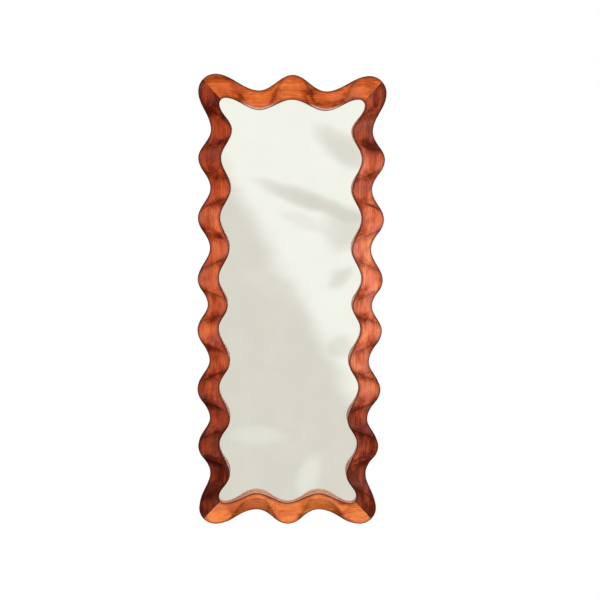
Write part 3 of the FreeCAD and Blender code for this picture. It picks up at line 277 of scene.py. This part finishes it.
class Finish:
    """A material's node tree, with short names for what the finishes below are made of."""

    def __init__(self, name):
        self.material = bpy.data.materials.new(name)
        self.material.use_nodes = True
        self.tree = self.material.node_tree
        self.tree.nodes.clear()
        self.shader = self.tree.nodes.new("ShaderNodeBsdfPrincipled")
        out = self.tree.nodes.new("ShaderNodeOutputMaterial")
        self.tree.links.new(self.shader.outputs[0], out.inputs[0])
        self.where = self.tree.nodes.new("ShaderNodeTexCoord").outputs["Object"]

    def put(self, socket, value):
        if isinstance(value, bpy.types.NodeSocket):
            self.tree.links.new(value, socket)
        elif value is not None:
            socket.default_value = value

    def set(self, **values):
        for word, value in values.items():
            self.put(self.shader.inputs[word.replace("_", " ")], value)

    def node(self, kind, **settings):
        made = self.tree.nodes.new(kind)
        for word, value in settings.items():
            setattr(made, word, value)
        return made

    def math(self, operation, a, b=0.5, c=0.5, clamp=False):
        made = self.node("ShaderNodeMath", operation=operation, use_clamp=clamp)
        for socket, value in zip(made.inputs, (a, b, c)):
            self.put(socket, value)
        return made.outputs[0]

    def stretch(self, scale, shift=(0, 0, 0), vector=None):
        made = self.node("ShaderNodeMapping")
        self.put(made.inputs["Vector"], vector or self.where)
        made.inputs["Scale"].default_value = scale
        made.inputs["Location"].default_value = shift
        return made.outputs[0]

    def noise(self, vector, scale=1.0, detail=3.0, rough=0.5, twist=0.0):
        made = self.node("ShaderNodeTexNoise")
        self.put(made.inputs["Vector"], vector)
        made.inputs["Scale"].default_value = scale
        made.inputs["Detail"].default_value = detail
        made.inputs["Roughness"].default_value = rough
        made.inputs["Distortion"].default_value = twist
        return made.outputs["Fac"]

    def span(self, value, low, high, to_low=0.0, to_high=1.0, smooth=True):
        made = self.node("ShaderNodeMapRange", interpolation_type="SMOOTHSTEP" if smooth else "LINEAR")
        self.put(made.inputs["Value"], value)
        for word, number in (("From Min", low), ("From Max", high), ("To Min", to_low), ("To Max", to_high)):
            made.inputs[word].default_value = number
        return made.outputs[0]

    def ramp(self, value, *stops):
        made = self.node("ShaderNodeValToRGB")
        self.put(made.inputs[0], value)
        marks = made.color_ramp.elements
        while len(marks) < len(stops):
            marks.new(0.5)
        for mark, (place, colour) in zip(marks, stops):
            mark.position = place
            mark.color = (*colour, 1)
        return made.outputs[0]

    def mix(self, share, a, b, how="MIX"):
        made = self.node("ShaderNodeMix", data_type="RGBA", blend_type=how)
        self.put(made.inputs[0], share)
        for socket, value in ((made.inputs[6], a), (made.inputs[7], b)):
            if isinstance(value, tuple) and len(value) == 3:
                value = (*value, 1)
            self.put(socket, value)
        return made.outputs[2]

    def attribute(self, name):
        return self.node("ShaderNodeAttribute", attribute_name=name).outputs["Fac"]

    def split(self, vector):
        made = self.node("ShaderNodeSeparateXYZ")
        self.put(made.inputs[0], vector)
        return made.outputs

    def bump(self, height, strength, distance, under=None):
        made = self.node("ShaderNodeBump")
        self.put(made.inputs["Height"], height)
        made.inputs["Strength"].default_value = strength
        made.inputs["Distance"].default_value = distance
        if under is not None:
            self.put(made.inputs["Normal"], under)
        return made.outputs[0]


def carved_wood(name, grain, seed, tones, lift=0.0, painted_end_shade=0.0, painted_light_middle=0.05, crossing_shade=0.16, pink_and_sheen_share=0.55,
                painted_waist_highlight=0.0, painted_light_patches=()):
    """Stained, satin-lacquered hardwood. grain is the axis the fibres run along."""
    f = Finish(name)
    dark, middle, light, pink_and_sheen = tones

    def along(across, long, shift):
        scale = [across, across, across]
        scale["xyz".index(grain)] = long
        return f.stretch(tuple(scale), (seed * 3.1 + shift, seed * 1.7, seed * 2.3 + shift))

    streaks = f.noise(along(150, 15, 0), 1, 4, 0.55, 0.4)
    ribbons = f.noise(along(55, 5.5, 4), 1, 3, 0.5, 0.7)
    fibres = f.noise(along(900, 26, 9), 1, 3, 0.6)
    pores = f.noise(along(1500, 75, 13), 1, 1, 0.4)
    patches = f.noise(along(11, 6, 21), 1, 2, 0.5)
    tint = f.noise(along(17, 8, 33), 1, 2, 0.5)
    # growth rings round a pith behind the piece
    x, y, z = f.split(f.where)
    a = z if grain == "x" else x
    wander = f.math("MULTIPLY", f.math("SUBTRACT", f.noise(along(7, 3, 40), 1, 2, 0.5), 0.5), 0.05)
    side = f.math("ADD", f.math("SUBTRACT", a, 0.31 * (1 if seed % 2 else -1)), wander)
    rear = f.math("SUBTRACT", y, 0.11)
    radius = f.math("SQRT", f.math("ADD", f.math("MULTIPLY", side, side), f.math("MULTIPLY", rear, rear)))
    rings = f.math("FRACT", f.math("MULTIPLY", radius, 118.0))
    late = f.math("MULTIPLY", f.span(rings, 0.45, 0.95), f.span(rings, 1.0, 0.96))
    mottle = f.noise(along(26, 13, 57), 1, 2, 0.55, 0.5)
    value = f.math("ADD", f.math("MULTIPLY", streaks, 0.36), f.math("MULTIPLY", ribbons, 0.46))
    value = f.math("ADD", value, f.math("MULTIPLY", fibres, 0.26))
    value = f.math("ADD", value, f.math("MULTIPLY", patches, 0.45))
    value = f.math("ADD", value, f.math("MULTIPLY", mottle, 0.66))
    value = f.math("SUBTRACT", value, f.math("MULTIPLY", late, 0.085))
    value = f.math("ADD", value, -0.60 + lift + crossing_shade * 0.42)
    if painted_end_shade:
        # painted shade: the stile darkens towards both of its ends, away from its lit middle
        distance_from_lit_middle = f.math("ABSOLUTE", f.math("ADD", z, -painted_light_middle))
        value = f.math("SUBTRACT", value, f.span(distance_from_lit_middle, 0.12, 0.84, 0.0, painted_end_shade))
    # painted light and shade: patches along the piece made lighter or darker
    for at, amount in painted_light_patches:
        away = f.math("ABSOLUTE", f.math("ADD", z, -at))
        value = f.math("ADD", value, f.span(away, 0.09, 0.01, 0.0, amount))
    # painted shade: darker where the ridge crosses the band
    bend = f.span(f.attribute("bend"), 0.15, 1.0, 0.0, crossing_shade)
    value = f.math("SUBTRACT", value, f.math("MULTIPLY", bend, f.span(mottle, 0.30, 0.66, 1.5, 0.5)))
    colour = f.ramp(value, (0.12, dark), (0.42, middle), (0.78, light))
    # a random pink tone, which also stands in for painted sheen
    pink_tone_and_sheen = f.span(tint, 0.48, 0.66, 0.0, pink_and_sheen_share)
    # painted sheen: on the stiles the pink is kept to their lit middle
    if painted_end_shade:
        pink_tone_and_sheen = f.math("MULTIPLY", pink_tone_and_sheen, f.span(distance_from_lit_middle, 0.25, 0.70, 1.0, 0.10))
    colour = f.mix(pink_tone_and_sheen, colour, pink_and_sheen)
    colour = f.mix(f.span(pores, 0.63, 0.72, 0.0, 0.55), colour, tuple(c * 0.28 for c in dark))
    # painted shade: darker beside the ridge where it crosses the band, and along the arrises
    crest = f.math("MULTIPLY", f.span(f.attribute("crest"), 1.5, 17.0, 1.0, 0.0), f.span(f.attribute("bend"), 0.1, 0.8))
    crest = f.math("MULTIPLY", crest, f.span(mottle, 0.34, 0.62, 0.62, 0.26))
    colour = f.mix(crest, colour, tuple(c * 0.9 for c in dark))
    # painted shade: a wide darkening and a near-black outline along the arrises
    painted_edge_shade = f.span(f.attribute("rim"), 3.0, 15.0, 0.42, 0.0)
    colour = f.mix(painted_edge_shade, colour, tuple(c * 1.1 for c in dark))
    rim = f.span(f.attribute("rim"), 1.0, 7.0, 0.82, 0.0)
    colour = f.mix(rim, colour, tuple(c * 0.33 for c in dark))
    if painted_waist_highlight:
        # painted highlight: the opening's arris is painted pale at the two waists
        near = f.span(f.math("ABSOLUTE", f.math("ADD", f.math("ABSOLUTE", x), -0.130)), 0.075, 0.035)
        low = f.math("MULTIPLY", f.span(f.attribute("across"), 0.13, 0.09), f.span(f.attribute("rim"), 1.4, 2.8))
        colour = f.mix(f.math("MULTIPLY", f.math("MULTIPLY", near, low), painted_waist_highlight), colour, (0.58, 0.40, 0.36))
    # the opening's wall is thinly stained
    wall = f.span(f.attribute("across"), 0.004, 0.0, 0.0, 0.85)
    colour = f.mix(wall, colour, f.mix(streaks, (0.66, 0.27, 0.16), (0.86, 0.48, 0.36)))
    # the flat back is planed and only thinly stained
    _, face, _ = f.split(f.node("ShaderNodeNewGeometry").outputs["Normal"])
    rear_face = f.span(face, 0.90, 0.98)
    saw = f.noise(along(40, 400, 50), 1, 2, 0.5)
    plain = f.mix(f.span(saw, 0.3, 0.7), (0.20, 0.075, 0.032), (0.30, 0.125, 0.06))
    plain = f.mix(f.span(fibres, 0.3, 0.7, 0.0, 0.5), plain, (0.36, 0.17, 0.085))
    colour = f.mix(rear_face, colour, plain)
    f.set(Base_Color=colour)
    gloss = f.math("ADD", f.span(fibres, 0.3, 0.7, 0.34, 0.50), f.span(pores, 0.6, 0.75, 0.0, 0.12))
    f.set(Roughness=f.math("ADD", gloss, f.math("MULTIPLY", rear_face, 0.25)))
    f.set(Coat_Weight=0.05, Coat_Roughness=0.22, IOR=1.36, Specular_IOR_Level=0.35)
    grainy = f.bump(fibres, 0.22, 0.0004)
    sunk = f.bump(f.span(pores, 0.60, 0.72, 1.0, 0.0), 0.35, 0.0003, grainy)
    hand = f.bump(f.noise(f.where, 26, 2, 0.5), 0.30, 0.0022, sunk)
    f.set(Normal=hand)
    return f.material


ORANGE = ((0.17, 0.020, 0.002), (0.52, 0.098, 0.016), (0.90, 0.27, 0.070), (0.66, 0.155, 0.062))
RED = ((0.070, 0.006, 0.001), (0.30, 0.039, 0.010), (0.60, 0.135, 0.046), (0.42, 0.085, 0.052))
EVEN = ((0.11, 0.012, 0.004), (0.41, 0.070, 0.024), (0.76, 0.250, 0.120), (0.58, 0.150, 0.105))
# besides tone, these set how much painted shade, sheen, highlight and light patches each piece gets
top.data.materials.append(carved_wood("wood_top", "x", 1, ORANGE, -0.13, crossing_shade=0.10, painted_waist_highlight=0.75))
bottom.data.materials.append(carved_wood("wood_bottom", "x", 2, ORANGE, 0.10, crossing_shade=0.10))
left.data.materials.append(carved_wood("wood_left", "z", 3, RED, 0.07, 0.40, painted_light_patches=((0.69, 0.20), (0.59, 0.06))))
right.data.materials.append(carved_wood("wood_right", "z", 4, EVEN, 0.07, 0.42, 0.08, 0.16, 0.70,
                                        painted_light_patches=((0.79, 0.10), (0.57, 0.11), (-0.44, -0.09), (-0.63, 0.13))))


def dress(material, *names):
    for name in names:
        slots = nodes[name].data.materials
        slots.clear()
        slots.append(material)


def silvered():
    f = Finish("silvered_glass")
    dust = f.noise(f.stretch((1, 1, 1)), 9, 4, 0.6)
    wipe = f.noise(f.stretch((6, 1, 1.6), (3, 0, 1)), 1, 3, 0.55)
    f.set(Base_Color=f.mix(f.span(dust, 0.3, 0.7), (0.925, 0.935, 0.905), (0.955, 0.955, 0.935)))
    f.set(Metallic=1.0)
    f.set(Roughness=f.math("ADD", f.span(wipe, 0.35, 0.75, 0.010, 0.028), f.span(dust, 0.55, 0.8, 0.0, 0.012)))
    f.set(Normal=f.bump(f.noise(f.where, 2.2, 1, 0.4), 0.02, 0.002))
    return f.material


def sheet_metal(name, colour, tarnish, along="z", roughness=0.32):
    f = Finish(name)
    scale = {"x": (35, 900, 900), "z": (900, 900, 35), "y": (900, 35, 900)}[along]
    brush = f.noise(f.stretch(scale), 1, 3, 0.6)
    blotch = f.noise(f.where, 55, 4, 0.6)
    specks = f.noise(f.where, 650, 2, 0.5)
    tone = f.mix(f.span(brush, 0.3, 0.7), colour, tuple(c * 0.80 for c in colour))
    tone = f.mix(f.span(blotch, 0.52, 0.72, 0.0, 0.55), tone, tarnish)
    f.set(Base_Color=tone, Metallic=1.0)
    f.set(Roughness=f.math("ADD", f.span(blotch, 0.35, 0.7, roughness, roughness + 0.16),
                           f.span(specks, 0.55, 0.75, 0.0, 0.10)))
    f.set(Normal=f.bump(brush, 0.16, 0.0002, f.bump(specks, 0.12, 0.0001)))
    return f.material


def fibreboard():
    f = Finish("backing_fibreboard")
    fine = f.noise(f.where, 620, 3, 0.65)
    flecks = f.noise(f.stretch((230, 230, 90)), 1, 2, 0.5)
    cloud = f.noise(f.where, 7, 3, 0.5)
    tone = f.ramp(fine, (0.28, (0.165, 0.088, 0.043)), (0.52, (0.245, 0.138, 0.070)), (0.75, (0.34, 0.21, 0.115)))
    tone = f.mix(f.span(flecks, 0.62, 0.72, 0.0, 0.6), tone, (0.115, 0.058, 0.028))
    tone = f.mix(f.span(cloud, 0.35, 0.7, 0.0, 0.30), tone, (0.30, 0.185, 0.10))
    f.set(Base_Color=tone, Roughness=f.span(fine, 0.3, 0.7, 0.62, 0.82))
    f.set(Normal=f.bump(fine, 0.25, 0.0003))
    return f.material


def soft_black(name, colour, roughness, grain_size):
    f = Finish(name)
    grain = f.noise(f.where, grain_size, 3, 0.6)
    bloom = f.noise(f.where, 60, 3, 0.5)
    tone = f.mix(f.span(grain, 0.3, 0.7), colour, tuple(c * 1.7 for c in colour))
    tone = f.mix(f.span(bloom, 0.5, 0.8, 0.0, 0.35), tone, tuple(min(c * 3.0, 1) for c in colour))
    f.set(Base_Color=tone, Roughness=f.span(grain, 0.3, 0.7, roughness - 0.08, roughness + 0.08))
    f.set(Normal=f.bump(grain, 0.3, 0.0002))
    return f.material


def raw_dowel():
    f = Finish("dowel_beech")
    grain = f.noise(f.stretch((400, 400, 400)), 1, 3, 0.6)
    rays = f.noise(f.stretch((90, 700, 90)), 1, 2, 0.5)
    tone = f.mix(f.span(grain, 0.3, 0.7), (0.50, 0.32, 0.18), (0.62, 0.43, 0.26))
    tone = f.mix(f.span(rays, 0.6, 0.72, 0.0, 0.6), tone, (0.36, 0.20, 0.10))
    f.set(Base_Color=tone, Roughness=f.span(grain, 0.3, 0.7, 0.5, 0.66), Normal=f.bump(grain, 0.2, 0.0002))
    return f.material


def film():
    f = Finish("safety_film")
    weave = f.noise(f.stretch((500, 500, 500)), 1, 2, 0.5)
    tone = f.mix(f.span(weave, 0.3, 0.7), (0.24, 0.26, 0.28), (0.30, 0.32, 0.34))
    f.set(Base_Color=tone, Roughness=f.span(weave, 0.3, 0.7, 0.42, 0.55), Normal=f.bump(weave, 0.15, 0.0001))
    return f.material


dress(silvered(), "mirror_pane")
dress(film(), "safety_film")
dress(fibreboard(), "backing_board")
dress(raw_dowel(), "dowels_top_left", "dowels_top_right", "dowels_bottom_left", "dowels_bottom_right")
dress(soft_black("block_rubber", (0.020, 0.020, 0.021), 0.62, 500), "setting_blocks")
dress(soft_black("foam_tape", (0.030, 0.030, 0.032), 0.85, 900), "tape_left", "tape_right", "tape_top", "tape_bottom")
dress(soft_black("bumper_rubber", (0.028, 0.024, 0.021), 0.58, 700),
      "bumper_top_left", "bumper_top_right", "bumper_bottom_left", "bumper_bottom_right")
dress(sheet_metal("zinc_plate", (0.60, 0.62, 0.64), (0.42, 0.44, 0.46), "z"),
      "brace_top_left", "brace_top_right", "brace_bottom_left", "brace_bottom_right", "retaining_clips")
dress(sheet_metal("zinc_screw", (0.72, 0.60, 0.36), (0.50, 0.44, 0.38), "x", 0.28),
      "brace_screws", "clip_screws", "hanger_screws", "bumper_screws")
dress(sheet_metal("nickel_strap", (0.66, 0.63, 0.58), (0.50, 0.46, 0.41), "z", 0.26),
      "hanger_strap_left", "hanger_strap_right")
dress(sheet_metal("nickel_wire", (0.72, 0.69, 0.64), (0.52, 0.48, 0.43), "x", 0.20), "d_ring_left", "d_ring_right")

# ---------------------------------------------------------------- room, lights and camera

world = bpy.data.worlds.new("studio")
scene.world = world
world.use_nodes = True
tree = world.node_tree
tree.nodes.clear()
room = Finish.__new__(Finish)
room.tree = tree
room.where = tree.nodes.new("ShaderNodeTexCoord").outputs["Generated"]
dx, dy, dz = room.split(room.where)
# In front of the glass hangs a softly clouded bright backdrop. u runs to the right and v up on it.
u = room.math("MULTIPLY_ADD", dx, 10.6, -0.38)
v = room.math("MULTIPLY_ADD", dz, 10.75, 1.75)
drift = room.noise(room.stretch((9.0, 9.0, 13.0), (0.3, 0.0, 1.2)), 1, 3, 0.5, 0.6)
u = room.math("ADD", u, room.math("MULTIPLY_ADD", drift, 0.9, -0.45))
v = room.math("ADD", v, room.math("MULTIPLY_ADD", drift, -0.7, 0.35))


def cloud(cu, cv, ru, rv, tilt=0.0):
    """A soft patch, 1 in its middle and 0 outside. tilt is its rise over its run."""
    across = room.math("MULTIPLY_ADD", u, 1 / ru, -cu / ru)
    up = room.math("MULTIPLY_ADD", v, 1 / rv, -cv / rv)
    if tilt:
        up = room.math("ADD", up, room.math("MULTIPLY", across, -tilt * ru / rv))
    far = room.math("ADD", room.math("MULTIPLY", across, across), room.math("MULTIPLY", up, up))
    return room.span(far, 1.0, 0.0)


slant = room.math("SUBTRACT", v, room.math("MULTIPLY_ADD", u, -1.75, -0.05))
bright = room.span(slant, -0.28, 0.32)
for patch, amount in (
    ((0.08, 1.02, 0.62, 0.13, -0.30), -1.0), ((0.42, 0.72, 0.30, 0.30), -0.75), ((0.42, 1.52, 0.34, 0.22, -0.5), -0.85),
    ((0.44, 0.20, 0.24, 0.16), -0.7), ((0.42, -0.47, 0.20, 0.13), -0.6), ((-0.02, 0.82, 0.32, 0.10, -0.4), -0.35),
    ((-0.44, -1.33, 0.36, 0.14), 0.34), ((0.07, -1.68, 0.22, 0.30), 0.48), ((-0.32, 0.12, 0.26, 0.14, -0.4), 0.14),
):
    bright = room.math("MULTIPLY_ADD", cloud(*patch), amount, bright)
bright = room.math("ADD", bright, room.math("MULTIPLY_ADD", drift, 0.16, -0.08), clamp=True)
backdrop = room.mix(bright, (0.735, 0.712, 0.640), (0.945, 0.945, 0.885))
# the rest of the room is dim, so that the satin wood keeps its depth
front = room.math("SUBTRACT", room.math("MULTIPLY_ADD", dx, 0.035, room.math("MULTIPLY", dz, -0.163)),
                  room.math("MULTIPLY", dy, 0.986))
facing = room.span(front, 0.84, 0.955)
height = room.span(dz, -0.5, 0.8)
dim = room.mix(height, (0.10, 0.095, 0.09), (0.24, 0.24, 0.25))
around = room.mix(facing, dim, backdrop)
reflected = tree.nodes.new("ShaderNodeBackground")
tree.links.new(around, reflected.inputs[0])
reflected.inputs[1].default_value = 1.0
seen = tree.nodes.new("ShaderNodeBackground")
seen.inputs[0].default_value = (1, 1, 1, 1)
seen.inputs[1].default_value = 1.0
choose = tree.nodes.new("ShaderNodeMixShader")
tree.links.new(tree.nodes.new("ShaderNodeLightPath").outputs["Is Camera Ray"], choose.inputs[0])
tree.links.new(reflected.outputs[0], choose.inputs[1])
tree.links.new(seen.outputs[0], choose.inputs[2])
out = tree.nodes.new("ShaderNodeOutputWorld")
tree.links.new(choose.outputs[0], out.inputs[0])

floor_mesh = bpy.data.meshes.new("studio_floor")
floor_mesh.from_pydata([(-5, -6, -1.35), (5, -6, -1.35), (5, 2.5, -1.35), (-5, 2.5, -1.35)], [], [(0, 1, 2, 3)])
floor = bpy.data.objects.new("studio_floor", floor_mesh)
scene.collection.objects.link(floor)
pale = Finish("pale_floor")
pale.set(Base_Color=(0.86, 0.86, 0.85, 1), Roughness=0.9)
glow = pale.node("ShaderNodeEmission")
glow.inputs[0].default_value = (1, 1, 1, 1)
pick = pale.node("ShaderNodeMixShader")
pale.tree.links.new(pale.node("ShaderNodeLightPath").outputs["Is Camera Ray"], pick.inputs[0])
pale.tree.links.new(pale.shader.outputs[0], pick.inputs[1])
pale.tree.links.new(glow.outputs[0], pick.inputs[2])
pale.tree.links.new(pick.outputs[0], [n for n in pale.tree.nodes if n.type == "OUTPUT_MATERIAL"][0].inputs[0])
floor_mesh.materials.append(pale.material)
floor.visible_glossy = False
floor.visible_diffuse = False


def area(name, place, at, width, height, power, colour=(1, 1, 1)):
    data = bpy.data.lights.new(name, "AREA")
    data.shape = "RECTANGLE"
    data.size, data.size_y, data.energy, data.color = width, height, power, colour
    lamp = bpy.data.objects.new(name, data)
    lamp.location = place
    lamp.rotation_mode = "QUATERNION"
    lamp.rotation_quaternion = (Vector(at) - Vector(place)).to_track_quat("-Z", "Y")
    lamp.visible_camera = False
    scene.collection.objects.link(lamp)
    return lamp


# a soft light straight in front of the glass, which itself must not show it
middle = area("middle", (0.20, -1.70, 0.10), (0, 0, 0), 0.8, 0.8, 24, (1.0, 0.98, 0.95))
middle.visible_glossy = False
key = area("key", (-1.7, -1.4, 1.9), (0, 0, 0.2), 1.4, 1.4, 44, (1.0, 0.97, 0.93))
key.visible_glossy = False
area("side", (2.0, -1.7, 0.10), (0.3, 0, 0.05), 0.8, 0.8, 15, (1.0, 0.97, 0.95))
area("rear", (0.5, 2.1, 0.8), (0, 0, 0), 3.2, 3.2, 26)

aim = Vector((0.0387, -0.042, 0.0276))
az, el, roll = math.radians(-2.06), math.radians(9.37), math.radians(0.76)
back = Vector((math.sin(az) * math.cos(el), -math.cos(az) * math.cos(el), math.sin(el)))
across = (-back).cross(Vector((0, 0, 1))).normalized()
upward = across.cross(-back)
right_hand = math.cos(roll) * across + math.sin(roll) * upward
up_hand = -math.sin(roll) * across + math.cos(roll) * upward
data = bpy.data.cameras.new("camera")
data.sensor_width = 36.0
data.lens = 36.0 * 1060.4 / 600.0
camera = bpy.data.objects.new("camera", data)
turned = Matrix((right_hand, up_hand, back)).transposed().to_4x4()
turned.translation = aim + back * 4.2
camera.matrix_world = turned
scene.collection.objects.link(camera)
scene.camera = camera
scene.view_settings.view_transform = "Standard"
scene.view_settings.look = "None"
